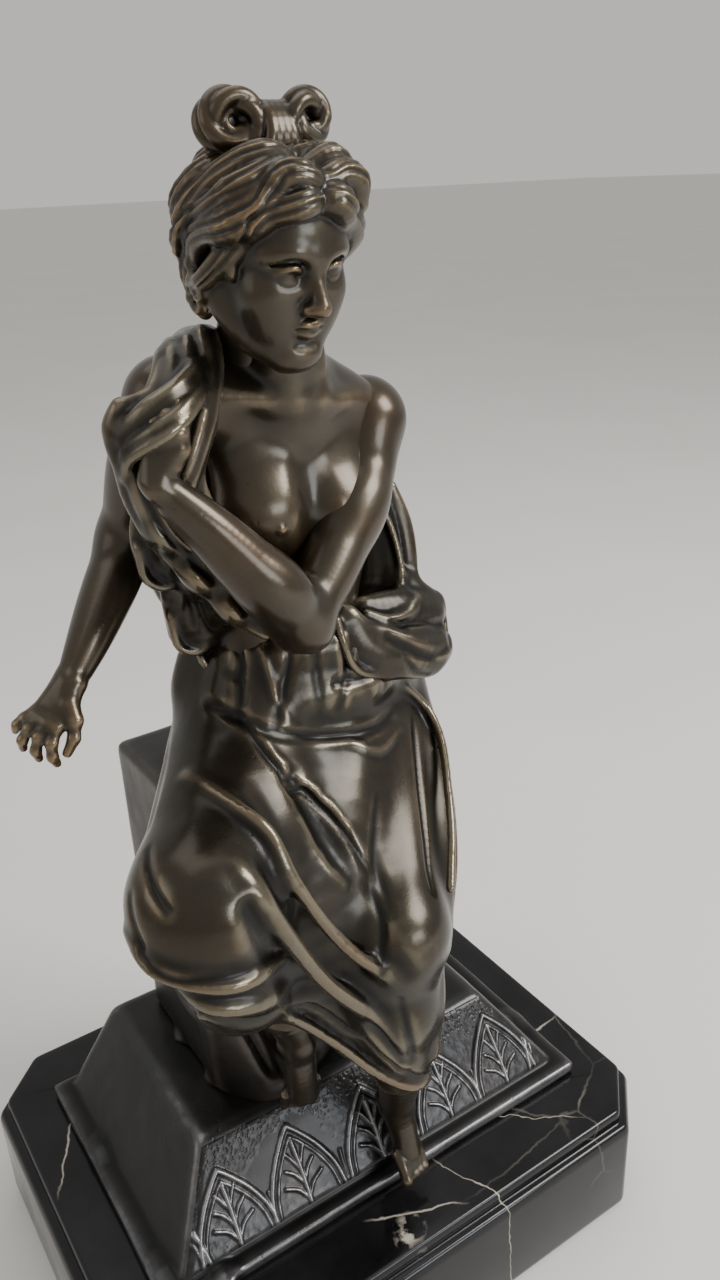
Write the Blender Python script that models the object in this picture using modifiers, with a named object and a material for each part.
"""Bronze statuette of a seated, draped woman on a relief pedestal and a black marble base.

The sections a founder would cast and pin together are each their own object, with the
studs, nuts, washers, screws and dowels that hold them. Constants are in millimetres and
the finished objects in metres: +Z is up, the figure faces -Y, and z = 0 is the plane the
felt sheet rests on.
"""

import math

import bmesh
import bpy
from mathutils import Matrix, Vector

MM = 0.001
OBJECT_NAME = "bronze_statuette"
GAP = 0.3  # clearance between neighbouring pieces
CLEAR = 0.45  # clearance left by a cast surface that another one was fitted to

# Marble base
BASE_TOP = 58.0
MARBLE_X, MARBLE_Y = 250.0, 194.0
CORNER_CLIP = 20.4
LEDGE_OUT, LEDGE_DOWN = 4.4, 6.5
FELT_THICK, FELT_INSET = 1.5, 3.0

# Pedestal and seat
FLANGE_X, FLANGE_FRONT, FLANGE_BACK, FLANGE_THICK = 104.7, -67.8, 67.3, 6.0
FOOT_X, FOOT_FRONT, FOOT_BACK = 97.0, -61.0, 63.0
PLAT_X, PLAT_FRONT, PLAT_BACK, PLAT_TOP = 72.5, -34.5, 60.0, 100.75
PEDESTAL_WALL = 4.0
SEAT_X, SEAT_FRONT, SEAT_BACK, SEAT_TOP = 54.0, -17.5, 52.0, 241.5
SEAT_WALL = 3.5
LEAF_COUNT, LEAF_PITCH = 7, 24.0

# Hardware
STUD_X, STUD_RADIUS = 62.0, 3.0
SCREW_X, SCREW_Y, SCREW_RADIUS = 40.0, 20.0, 2.5
BORE_RADIUS, BORE_DEPTH = 10.0, 16.0

# Joints of the figure
PELVIS = (8, -2, 268)
HIP_R, KNEE_R, ANKLE_R = (-18, -6, 267), (-72, -73, 243), (-33, -54, 150)
HIP_L, KNEE_L, ANKLE_L = (32, -4, 264), (-4, -79, 203), (4, -65, 100)
WAIST, CHEST, NECK = (2, -8, 293), (-5, -22, 352), (-6, -36, 396)
SHOULDER_R, ELBOW_R, WRIST_R = (-47, -31, 393), (-53, 3, 343), (-90, -28, 311)
SHOULDER_L, ELBOW_L, WRIST_L = (26, -27, 376), (-20, -56, 323), (-63, -54, 376)
HEAD = (-18, -47, 435)
FACE_TURN, FACE_DOWN = 8.0, 16.0  # degrees: to her left, and downwards


def vec(*p):
    return Vector(p[0] if len(p) == 1 else p)


def between(a, b, t):
    return vec(a).lerp(vec(b), t)


# ---------------------------------------------------------------- mesh helpers
def object_from(name, bm):
    mesh = bpy.data.meshes.new(name)
    bmesh.ops.recalc_face_normals(bm, faces=bm.faces)
    bm.to_mesh(mesh)
    bm.free()
    ob = bpy.data.objects.new(name, mesh)
    bpy.context.scene.collection.objects.link(ob)
    return ob


def applied(ob):
    """The object with its modifiers made real."""
    graph = bpy.context.evaluated_depsgraph_get()
    mesh = bpy.data.meshes.new_from_object(ob.evaluated_get(graph))
    ob.modifiers.clear()
    ob.data = mesh
    return ob


def add_ball(bm, centre, radii, turn=None):
    if isinstance(radii, (int, float)):
        radii = (radii,) * 3
    place = Matrix.Translation(vec(centre)) @ (turn or Matrix()) @ Matrix.Diagonal((*radii, 1))
    bmesh.ops.create_uvsphere(bm, u_segments=24, v_segments=14, radius=1, matrix=place)


def add_limb(bm, a, b, ra, rb, flat=1.0, side=(1, 0, 0)):
    """A tapered bar with round ends; flat squashes it along `side`'s normal."""
    a, b = vec(a), vec(b)
    axis = b - a
    up = axis.normalized()
    across = (vec(side) - up * vec(side).dot(up)).normalized()
    turn = Matrix((across, up.cross(across), up)).transposed().to_4x4()
    squash = Matrix.Diagonal((1, flat, 1, 1))
    middle = Matrix.Translation((a + b) / 2) @ turn @ squash
    bmesh.ops.create_cone(bm, cap_ends=True, segments=24, radius1=ra, radius2=rb,
                          depth=axis.length, matrix=middle)
    for point, radius in ((a, ra), (b, rb)):
        add_ball(bm, point, (radius, radius * flat, radius), turn)


def box(bm, low, high):
    size, centre = vec(high) - vec(low), (vec(high) + vec(low)) / 2
    bmesh.ops.create_cube(bm, matrix=Matrix.Translation(centre) @ Matrix.Diagonal((*size, 1)))


def box_object(name, low, high):
    bm = bmesh.new()
    box(bm, low, high)
    return object_from(name, bm)


def frustum(name, low, high, low_top, high_top):
    """A box whose top face is the second rectangle."""
    bm = bmesh.new()
    box(bm, low, high)
    for v in bm.verts:
        if v.co.z > (low[2] + high[2]) / 2:
            v.co.x = low_top[0] if v.co.x < 0 else high_top[0]
            v.co.y = low_top[1] if v.co.y < (low[1] + high[1]) / 2 else high_top[1]
    return object_from(name, bm)


def rod(name, a, b, radius, sides=24):
    bm = bmesh.new()
    axis = vec(b) - vec(a)
    turn = axis.to_track_quat("Z", "Y").to_matrix().to_4x4()
    bmesh.ops.create_cone(bm, cap_ends=True, segments=sides, radius1=radius, radius2=radius,
                          depth=axis.length, matrix=Matrix.Translation((vec(a) + vec(b)) / 2) @ turn)
    return object_from(name, bm)


def clipped_slab(name, half_x, half_y, clip, z0, z1, bevel=0.0):
    """A box with its four upright corners cut off."""
    bm = bmesh.new()
    box(bm, (-half_x, -half_y, z0), (half_x, half_y, z1))
    upright = [e for e in bm.edges if abs(e.verts[0].co.z - e.verts[1].co.z) > 1]
    bmesh.ops.bevel(bm, geom=upright, offset=clip, segments=1, affect="EDGES")
    if bevel:
        rim = [e for e in bm.edges if all(v.co.z > z1 - 0.01 for v in e.verts)]
        bmesh.ops.bevel(bm, geom=rim, offset=bevel, segments=2, affect="EDGES")
    return object_from(name, bm)


def boolean(ob, other, kind="DIFFERENCE", keep=False):
    mod = ob.modifiers.new(kind.lower(), "BOOLEAN")
    mod.operation, mod.solver, mod.object = kind, "EXACT", other
    applied(ob)
    if not keep:
        bpy.data.objects.remove(other)
    return ob


def largest_part(ob):
    """Drops the crumbs a cut can leave, keeping the biggest connected body."""
    bm = bmesh.new()
    bm.from_mesh(ob.data)
    bmesh.ops.remove_doubles(bm, verts=bm.verts, dist=0.0002)
    todo, groups = set(bm.verts), []
    while todo:
        group, front = set(), [todo.pop()]
        while front:
            v = front.pop()
            group.add(v)
            for e in v.link_edges:
                w = e.other_vert(v)
                if w in todo:
                    todo.discard(w)
                    front.append(w)
        groups.append(group)
    groups.sort(key=lambda g: (max(v.co.z for v in g) - min(v.co.z for v in g)) * len(g))
    for group in groups[:-1]:
        bmesh.ops.delete(bm, geom=list(group), context="VERTS")
    bm.to_mesh(ob.data)
    bm.free()
    return ob


def cast(name, bm, triangles, voxel=1.5, smooth=4):
    """Joins overlapping forms into one skin, softens it and thins its mesh."""
    ob = object_from(name, bm)
    remesh = ob.modifiers.new("skin", "REMESH")
    remesh.mode, remesh.voxel_size = "VOXEL", voxel
    soften = ob.modifiers.new("soften", "SMOOTH")
    soften.factor, soften.iterations = 0.5, smooth
    applied(ob)
    count = sum(len(p.vertices) - 2 for p in ob.data.polygons)
    thin = ob.modifiers.new("thin", "DECIMATE")
    thin.ratio = min(1.0, triangles / count)
    return largest_part(applied(ob))


def grown(ob, by=CLEAR):
    """A copy swollen along its normals, to fit a neighbour against it."""
    copy = bpy.data.objects.new("fit", ob.data.copy())
    bpy.context.scene.collection.objects.link(copy)
    swell = copy.modifiers.new("swell", "DISPLACE")
    swell.strength, swell.mid_level = by, 0.0
    return applied(copy)


def fitted(ob, *neighbours):
    for other in neighbours:
        boolean(ob, grown(other))
        boolean(ob, other, keep=True)
    return largest_part(ob)


def drilled(ob, a, b, radius):
    return boolean(ob, rod("drill", a, b, radius))


# ---------------------------------------------------------------- base and pedestal
def make_marble():
    z0 = FELT_THICK + GAP
    block = clipped_slab("marble_base", MARBLE_X / 2 + LEDGE_OUT, MARBLE_Y / 2 + LEDGE_OUT,
                         CORNER_CLIP + 1.8, z0, BASE_TOP - LEDGE_DOWN, 1.5)
    top = clipped_slab("top", MARBLE_X / 2, MARBLE_Y / 2, CORNER_CLIP,
                       BASE_TOP - LEDGE_DOWN - 5, BASE_TOP, 1.0)
    boolean(block, top, "UNION")
    for side in (-1, 1):
        x = side * STUD_X
        drilled(block, (x, 0, z0 - 2), (x, 0, BASE_TOP + 2), STUD_RADIUS + 0.6)
        drilled(block, (x, 0, z0 - 2), (x, 0, z0 + BORE_DEPTH), BORE_RADIUS)
    return block


def make_felt():
    out = LEDGE_OUT - FELT_INSET
    return clipped_slab("felt_sheet", MARBLE_X / 2 + out, MARBLE_Y / 2 + out,
                        CORNER_CLIP, 0, FELT_THICK)


def make_pedestal():
    z0 = BASE_TOP + GAP
    z1 = z0 + FLANGE_THICK
    shell = box_object("pedestal_casting", (-FLANGE_X, FLANGE_FRONT, z0),
                       (FLANGE_X, FLANGE_BACK, z1))
    body = frustum("body", (-FOOT_X, FOOT_FRONT, z1 - 3), (FOOT_X, FOOT_BACK, PLAT_TOP),
                   (-PLAT_X, PLAT_FRONT), (PLAT_X, PLAT_BACK))
    boolean(shell, body, "UNION")
    w = PEDESTAL_WALL
    hollow = frustum("hollow", (-FOOT_X + w, FOOT_FRONT + w, z0 - 5),
                     (FOOT_X - w, FOOT_BACK - w, PLAT_TOP - w),
                     (-PLAT_X + w, PLAT_FRONT + w), (PLAT_X - w, PLAT_BACK - w))
    boolean(shell, hollow)
    for side in (-1, 1):  # bosses the studs are screwed into
        x = side * STUD_X
        boolean(shell, rod("boss", (x, 0, z0 + 8), (x, 0, PLAT_TOP - 2), 8), "UNION")
        drilled(shell, (x, 0, z0), (x, 0, z0 + 26), STUD_RADIUS + GAP)
        x = side * SCREW_X
        drilled(shell, (x, SCREW_Y, PLAT_TOP - 9), (x, SCREW_Y, PLAT_TOP + 9), SCREW_RADIUS + GAP)
    slope = math.atan2(PLAT_TOP - z1, PLAT_FRONT - FOOT_FRONT)
    for i in range(LEAF_COUNT):  # the pointed leaves of the front face
        bm = bmesh.new()
        x = (i - (LEAF_COUNT - 1) / 2) * LEAF_PITCH
        bmesh.ops.create_cone(bm, cap_ends=True, segments=4, radius1=1, radius2=0.55, depth=1,
                              matrix=Matrix.Diagonal((10.5, 17, 2.4, 1)))
        leaf = object_from("leaf", bm)
        centre = vec(x * 0.92, (FOOT_FRONT + PLAT_FRONT) / 2, (z1 + PLAT_TOP) / 2)
        leaf.data.transform(Matrix.Translation(centre) @ Matrix.Rotation(slope, 4, "X"))
        boolean(shell, leaf, "UNION")
    return shell


def make_seat():
    z0 = PLAT_TOP + GAP
    bm = bmesh.new()
    box(bm, (-SEAT_X, SEAT_FRONT, z0), (SEAT_X, SEAT_BACK, SEAT_TOP))
    upright = [e for e in bm.edges if abs(e.verts[0].co.z - e.verts[1].co.z) > 1]
    bmesh.ops.bevel(bm, geom=upright, offset=3.0, segments=3, affect="EDGES", profile=0.5)
    seat = object_from("seat_block_casting", bm)
    w = SEAT_WALL
    boolean(seat, box_object("hollow", (-SEAT_X + w, SEAT_FRONT + w, z0 - 5),
                             (SEAT_X - w, SEAT_BACK - w, SEAT_TOP - w)))
    for side in (-1, 1):  # lugs the seat screws bite into, joined to the side walls
        x = side * SCREW_X
        low, high = sorted((x - side * 6, side * (SEAT_X - 1)))
        boolean(seat, box_object("lug", (low, SCREW_Y - 6, z0), (high, SCREW_Y + 6, z0 + 12)), "UNION")
        drilled(seat, (x, SCREW_Y, z0 - 3), (x, SCREW_Y, z0 + 10), SCREW_RADIUS + GAP)
    return seat


def make_fixings():
    pieces = []
    z0 = FELT_THICK + GAP
    bore_top = z0 + BORE_DEPTH
    for side, word in ((-1, "right"), (1, "left")):
        x = side * STUD_X
        top = BASE_TOP + GAP + 25
        pieces.append(rod(f"mounting_stud_{word}", (x, 0, z0 + 4), (x, 0, top), STUD_RADIUS))
        washer = rod(f"stud_washer_{word}", (x, 0, bore_top - GAP - 1.2), (x, 0, bore_top - GAP), 8.5)
        pieces.append(drilled(washer, (x, 0, z0), (x, 0, bore_top + 2), STUD_RADIUS + GAP))
        nut_top = bore_top - 2 * GAP - 1.2
        nut = rod(f"stud_nut_{word}", (x, 0, nut_top - 5), (x, 0, nut_top), 5.6, sides=6)
        pieces.append(drilled(nut, (x, 0, z0), (x, 0, bore_top + 2), STUD_RADIUS + GAP))
        x = side * SCREW_X
        under = PLAT_TOP - PEDESTAL_WALL - GAP
        screw = rod(f"seat_screw_{word}", (x, SCREW_Y, under - 3), (x, SCREW_Y, under), 4.5)
        shank = rod("shank", (x, SCREW_Y, under - 1), (x, SCREW_Y, PLAT_TOP + 9), SCREW_RADIUS)
        pieces.append(boolean(screw, shank, "UNION"))
    return pieces


# ---------------------------------------------------------------- figure
def make_torso():
    bm = bmesh.new()
    add_ball(bm, between(WAIST, PELVIS, 0.55), (31, 22, 19))
    add_limb(bm, WAIST, between(WAIST, CHEST, 0.5), 26, 27, flat=0.75)
    add_ball(bm, between(WAIST, CHEST, 0.55), (29, 21, 28))
    add_ball(bm, CHEST, (32, 22, 27))
    add_limb(bm, between(SHOULDER_R, NECK, 0.3), between(SHOULDER_L, NECK, 0.3), 12, 12)
    add_limb(bm, between(NECK, CHEST, 0.35), between(SHOULDER_R, CHEST, 0.2), 14, 12)
    add_limb(bm, between(NECK, CHEST, 0.35), between(SHOULDER_L, CHEST, 0.2), 14, 12)
    for x in (-21, 9):  # breasts
        add_ball(bm, (x, -38, 354), (12.5, 11.5, 12))
    add_limb(bm, between(NECK, CHEST, 0.3), between(NECK, HEAD, 0.45), 14, 11)
    nape = vec(NECK) + vec(0, 8, 6)
    add_limb(bm, nape, between(SHOULDER_R, NECK, 0.35), 11, 10)
    add_limb(bm, nape, between(SHOULDER_L, NECK, 0.35), 11, 10)
    for side, shoulder in ((-1, SHOULDER_R), (1, SHOULDER_L)):  # the flat of the back
        add_ball(bm, between(shoulder, CHEST, 0.45) + vec(0, 10, 0), (17, 15, 26))
    return cast("torso_casting", bm, 1050, smooth=7)


def make_head():
    turn = (Matrix.Rotation(math.radians(FACE_TURN), 4, "Z")
            @ Matrix.Rotation(math.radians(FACE_DOWN), 4, "X"))
    place = Matrix.Translation(vec(HEAD)) @ turn

    def at(*p):
        return place @ vec(*p)

    bm = bmesh.new()
    add_ball(bm, at(0, 4, 4), (22.5, 26, 23), turn)  # skull under the hair
    add_ball(bm, at(0, -11, -6), (17, 13, 20), turn)  # face
    add_ball(bm, at(0, -15, -22), (7.5, 6.5, 6.5), turn)  # chin
    for side in (-1, 1):
        add_ball(bm, at(side * 9, -14, -7), (7.5, 7, 8), turn)  # cheeks
        add_limb(bm, at(side * 3, -22.5, 3.5), at(side * 13, -19, 2.5), 2.2, 2.4)  # brow
        add_ball(bm, at(side * 7.2, -20.5, -1.5), (4.0, 3.0, 2.4), turn)  # eyelids
        add_limb(bm, at(side * 4, -19, 16), at(side * 21, -8, 6), 6.5, 8)  # hair over the temple
        add_limb(bm, at(side * 21, -8, 6), at(side * 22, 4, -9), 8, 8)  # hair over the ear
        add_limb(bm, at(side * 21, 4, -9), at(side * 11, 19, -15), 8, 9)  # hair to the nape
        add_limb(bm, at(side * 5, -14, 21), at(side * 20, 2, 14), 7, 8)
    add_limb(bm, at(0, -22.5, 1), at(0, -26, -9), 1.8, 3.0)  # nose
    add_limb(bm, at(-3.6, -21.8, -15.2), at(3.6, -21.8, -15.2), 1.7, 1.7)  # lips
    add_limb(bm, at(-2.8, -21.3, -18), at(2.8, -21.3, -18), 1.7, 1.7)
    add_ball(bm, at(0, 22, -10), (13, 10, 11), turn)  # nape roll
    add_limb(bm, at(0, 2, -12), at(0, 4, -26), 11.5, 11)  # upper neck
    return cast("head_casting", bm, 1500, voxel=1.1, smooth=2)


def make_topknot():
    bm = bmesh.new()
    base = vec(HEAD) + vec(0, -2, 29)
    for side, ring, lift in ((-1, 8.6, 4.5), (1, 7.6, 3.5)):
        centre = base + vec(side * 10.5, side * -1.5, lift)
        for i in range(16):
            a, b = (math.radians(22.5 * (i + k)) for k in (0, 1))
            p, q = (centre + vec(ring * math.cos(t), 1.5 * math.sin(2 * t), ring * 0.72 * math.sin(t))
                    for t in (a, b))
            add_limb(bm, p, q, 3.7, 3.7)
    add_ball(bm, base + vec(0, 0, 1), (7, 7, 7.5))
    add_limb(bm, base + vec(-8, 4, -4), base + vec(8, 4, -5), 5, 5)
    return cast("topknot_casting", bm, 640, voxel=1.0, smooth=2)


def hand(bm, wrist, palm, across, fingers, thumb, scale=1.0):
    """A palm and five jointed fingers; fingers and thumb are lists of direction steps."""
    wrist, palm, across = vec(wrist), vec(palm), vec(across).normalized()
    add_limb(bm, wrist, palm, 6.0 * scale, 6.5 * scale, flat=0.7, side=across)
    for i in range(4):
        offset = across * ((i - 1.5) * 4.3 * scale)
        point = palm + offset
        add_limb(bm, wrist + offset * 0.4, point, 4.0 * scale, 3.4 * scale)
        for k, step in enumerate(fingers):
            after = point + vec(step) * (1.0 - 0.06 * abs(i - 1.3))
            add_limb(bm, point, after, (3.0 - 0.3 * k) * scale, (2.7 - 0.3 * k) * scale)
            point = after
    point = wrist.lerp(palm, 0.4) + vec(thumb[0]) * 0.3
    for k, step in enumerate(thumb):
        after = point + vec(step)
        add_limb(bm, point, after, (3.6 - 0.4 * k) * scale, (3.1 - 0.4 * k) * scale)
        point = after


def make_left_arm():
    bm = bmesh.new()
    add_ball(bm, SHOULDER_L, (14, 13.5, 14.5))
    add_limb(bm, SHOULDER_L, between(SHOULDER_L, ELBOW_L, 0.5), 13.5, 12)
    add_limb(bm, between(SHOULDER_L, ELBOW_L, 0.45), ELBOW_L, 12, 10)
    add_limb(bm, ELBOW_L, between(ELBOW_L, WRIST_L, 0.4), 10.5, 10.5)
    add_limb(bm, between(ELBOW_L, WRIST_L, 0.35), WRIST_L, 10.5, 6.8)
    hand(bm, WRIST_L, (-65, -57, 391), (-0.7, 0.55, 0.2),
         [(0, 3, 8), (3, 7, 2.5), (3, 4.5, -3)], [(7, 1, 5), (4, 3, 3)])
    return cast("left_arm_casting", bm, 900, voxel=1.2)


def make_right_arm():
    bm = bmesh.new()
    add_limb(bm, SHOULDER_R, ELBOW_R, 12, 8.6)
    add_limb(bm, ELBOW_R, between(ELBOW_R, WRIST_R, 0.35), 8.8, 9)
    add_limb(bm, between(ELBOW_R, WRIST_R, 0.3), WRIST_R, 9, 5.0)
    hand(bm, WRIST_R, (-100, -31, 301), (0.8, -0.55, 0.1),
         [(-4, -1, -6), (0, 2, -6.5), (3, 3.5, -3)], [(4, -2, -5), (-1, -1, -7)], scale=0.85)
    return cast("right_arm_casting", bm, 850, voxel=1.2)


def make_skirt():
    bm = bmesh.new()
    add_ball(bm, PELVIS, (45, 33, 29))
    add_ball(bm, (8, -4, 284), (36, 27, 17))
    add_ball(bm, (8, 20, 256), (46, 26, 22))
    add_limb(bm, HIP_R, KNEE_R, 31, 27)
    add_limb(bm, HIP_L, KNEE_L, 29, 22)
    add_limb(bm, KNEE_R, (-61, -66, 206), 26, 23)
    add_limb(bm, (-61, -66, 206), (-46, -54, 184), 21, 16)
    add_limb(bm, (-44, -52, 188), (-35, -50, 160), 15, 11)
    add_limb(bm, KNEE_L, (-3, -77, 168), 22, 18)
    add_limb(bm, (-3, -77, 168), (0, -71, 134), 18, 15)
    for t, depth in ((0.25, 24), (0.55, 22), (0.85, 19)):  # cloth stretched between the legs
        add_limb(bm, between(HIP_R, KNEE_R, t), between(KNEE_L, (0, -68, 134), t * 1.1 - 0.25), depth, depth - 5)
    add_limb(bm, between(HIP_R, KNEE_R, 0.7), between(KNEE_L, (0, -64, 134), 0.35), 22, 17)
    add_limb(bm, (-52, -62, 214), (-12, -62, 160), 20, 14)
    add_limb(bm, (-50, -60, 200), (-6, -62, 140), 17, 12)
    add_limb(bm, (-20, -40, 235), (-14, -50, 175), 24, 16)
    add_limb(bm, (30, -22, 236), (20, -48, 190), 22, 15)
    add_limb(bm, (20, -48, 190), (12, -58, 140), 15, 10)
    return cast("skirt_casting", bm, 1300, voxel=1.8, smooth=9)


def skirt_core():
    """The hollow left by the casting core, open at the seat and at the waist."""
    bm = bmesh.new()
    add_ball(bm, PELVIS, (33, 20, 17))
    add_limb(bm, (7, -2, SEAT_TOP - 20), (5, -6, 285), 15, 15)
    add_limb(bm, HIP_R, between(HIP_R, KNEE_R, 0.95), 19, 17)
    add_limb(bm, HIP_L, between(HIP_L, KNEE_L, 0.95), 18, 14)
    add_limb(bm, between(HIP_L, KNEE_L, 0.95), (-3, -77, 166), 14, 10)
    return cast("skirt_core", bm, 340, voxel=2.0)


def make_left_leg():
    bm = bmesh.new()
    add_limb(bm, (4, -72, 135), ANKLE_L, 11, 7.8)
    add_ball(bm, (8, -55, 94), (7, 7.5, 7.5))
    add_limb(bm, ANKLE_L, (5.5, -67, 76), 7.8, 7.2)
    add_limb(bm, (8, -55, 92), (5.5, -64, 74), 6.2, 6.5)
    for i in range(5):
        x = 12 - 3.3 * i
        add_limb(bm, (x, -66, 74), (x - 0.3, -71 - 0.5 * (4 - i), 68.5), 3.0, 2.4)
    return cast("left_leg_casting", bm, 560, voxel=1.1, smooth=2)


def make_right_foot():
    bm = bmesh.new()
    add_limb(bm, (-38, -55, 172), ANKLE_R, 10, 7.6)
    add_ball(bm, (-29, -43, 142), (7, 7, 8))
    add_limb(bm, ANKLE_R, (-32, -50.5, 118), 7.6, 7.4)
    add_limb(bm, (-29, -43, 142), (-31, -46.5, 118), 6.2, 6.0)
    for i in range(5):
        x = -26 - 3.2 * i
        add_limb(bm, (x, -49, 118), (x, -46.5 - 0.3 * i, 105.5 + 0.9 * i), 3.1, 2.4)
    return cast("right_foot_casting", bm, 520, voxel=1.1, smooth=2)


def make_shoulder_drape():
    """The cloth clutched on the right shoulder, hanging over the arm and down the back."""
    bm = bmesh.new()
    top = vec(SHOULDER_R)
    add_limb(bm, top + vec(17, 2, 15), top + vec(-4, -3, 6), 7, 10)
    add_limb(bm, top + vec(12, -12, 8), top + vec(-8, -18, -4), 6, 7)
    add_limb(bm, top + vec(-4, -2, 4), top + vec(-9, 5, -22), 11, 14)
    add_limb(bm, top + vec(-9, 5, -22), top + vec(-4, 20, -42), 14, 14)
    add_limb(bm, top + vec(16, 14, 8), top + vec(30, 26, -50), 9, 9)
    add_limb(bm, top + vec(14, 8, 11), top + vec(8, 24, -30), 8, 10)
    add_limb(bm, top + vec(8, 24, -30), top + vec(16, 32, -84), 10, 10)
    add_limb(bm, top + vec(22, 20, -20), top + vec(34, 28, -84), 9, 9)
    add_limb(bm, top + vec(0, 22, -20), top + vec(4, 28, -70), 12, 9)
    add_limb(bm, top + vec(-7, -19, -2), top + vec(2, -20, -34), 5, 5)
    return cast("shoulder_drape_casting", bm, 700, voxel=1.4, smooth=7)


def make_back_drape():
    """The cloth that swings behind the left arm and gathers on the left hip."""
    bm = bmesh.new()
    path = [(14, 6, 384), (38, 4, 370), (48, -2, 345), (47, -6, 320), (46, -6, 302)]
    for a, b in zip(path, path[1:]):
        add_limb(bm, a, b, 6.5, 6.5)
    add_limb(bm, (20, 14, 380), (42, 14, 330), 7, 8)
    add_limb(bm, (42, 14, 330), (46, 8, 300), 8, 12)
    add_ball(bm, (44, -12, 296), (19, 15, 14))
    add_limb(bm, (36, -22, 290), (62, -8, 292), 9, 9)
    add_limb(bm, (50, 6, 292), (56, 14, 262), 13, 10)
    return cast("back_drape_casting", bm, 700, voxel=1.4, smooth=7)


def make_figure():
    seat_fit = box_object("seat_fit", (-SEAT_X - CLEAR, SEAT_FRONT - CLEAR, 0),
                          (SEAT_X + CLEAR, SEAT_BACK + CLEAR, SEAT_TOP + GAP))
    torso, skirt = make_torso(), make_skirt()
    boolean(torso, box_object("below", (-99, -99, 0), (99, 99, 279)))
    boolean(skirt, seat_fit)
    fitted(skirt, torso)
    head = fitted(make_head(), torso)
    topknot = fitted(make_topknot(), head)
    left_arm = fitted(make_left_arm(), torso, skirt)
    right_arm = fitted(make_right_arm(), torso, skirt)
    shoulder = fitted(make_shoulder_drape(), torso, left_arm, right_arm, head, skirt)
    back = fitted(make_back_drape(), torso, left_arm, skirt, right_arm, shoulder, head)
    left_leg = fitted(make_left_leg(), skirt)
    right_foot = fitted(make_right_foot(), skirt)
    boolean(torso, rod("core", (3, -8, 270), (-3, -16, 345), 15))
    boolean(skirt, skirt_core())
    return [torso, skirt, head, topknot, left_arm, right_arm, shoulder, back, left_leg, right_foot]


def make_dowels(pieces):
    """Pins across the joints of the figure, each with its hole in both castings."""
    by_name = {ob.name: ob for ob in pieces}
    plan = [
        ("neck_dowel", (-9, -40, 400), (-12, -45, 428), 3.0, ("torso_casting", "head_casting")),
        ("left_arm_dowel", (12, -28, 378), (37, -27, 377), 2.5, ("torso_casting", "left_arm_casting")),
    ]
    dowels = []
    for name, a, b, radius, hosts in plan:
        out = (vec(b) - vec(a)).normalized() * GAP
        for host in hosts:
            drilled(by_name[host], vec(a) - out, vec(b) + out, radius + GAP)
        dowels.append(rod(name, a, b, radius, sides=16))
    return dowels


# ---------------------------------------------------------------- materials and scene
LOOKS = {
    "marble": ((0.012, 0.012, 0.013, 1), 0.0, 0.18),
    "felt": ((0.02, 0.05, 0.03, 1), 0.0, 0.95),
    "steel": ((0.45, 0.45, 0.46, 1), 1.0, 0.4),
    "bronze": ((0.085, 0.050, 0.028, 1), 1.0, 0.34),
}


def look_of(name):
    for word, look in (("marble", "marble"), ("felt", "felt"), ("stud", "steel"),
                       ("screw", "steel"), ("dowel", "steel")):
        if word in name:
            return LOOKS[look]
    return LOOKS["bronze"]


def finish(ob, collection):
    ob.data.transform(Matrix.Scale(MM, 4))
    colour, metallic, roughness = look_of(ob.name)
    material = bpy.data.materials.new(f"{ob.name}_material")
    material.use_nodes = True
    shader = material.node_tree.nodes["Principled BSDF"]
    shader.inputs["Base Color"].default_value = colour
    shader.inputs["Metallic"].default_value = metallic
    shader.inputs["Roughness"].default_value = roughness
    ob.data.materials.clear()
    ob.data.materials.append(material)
    for holder in list(ob.users_collection):
        holder.objects.unlink(ob)
    collection.objects.link(ob)


def main():
    for ob in list(bpy.data.objects):
        bpy.data.objects.remove(ob)
    collection = bpy.data.collections.new(OBJECT_NAME)
    bpy.context.scene.collection.children.link(collection)
    figure = make_figure()
    pieces = [make_marble(), make_felt(), make_pedestal(), make_seat(), *make_fixings(),
              *figure, *make_dowels(figure)]
    for ob in pieces:
        finish(ob, collection)


main()
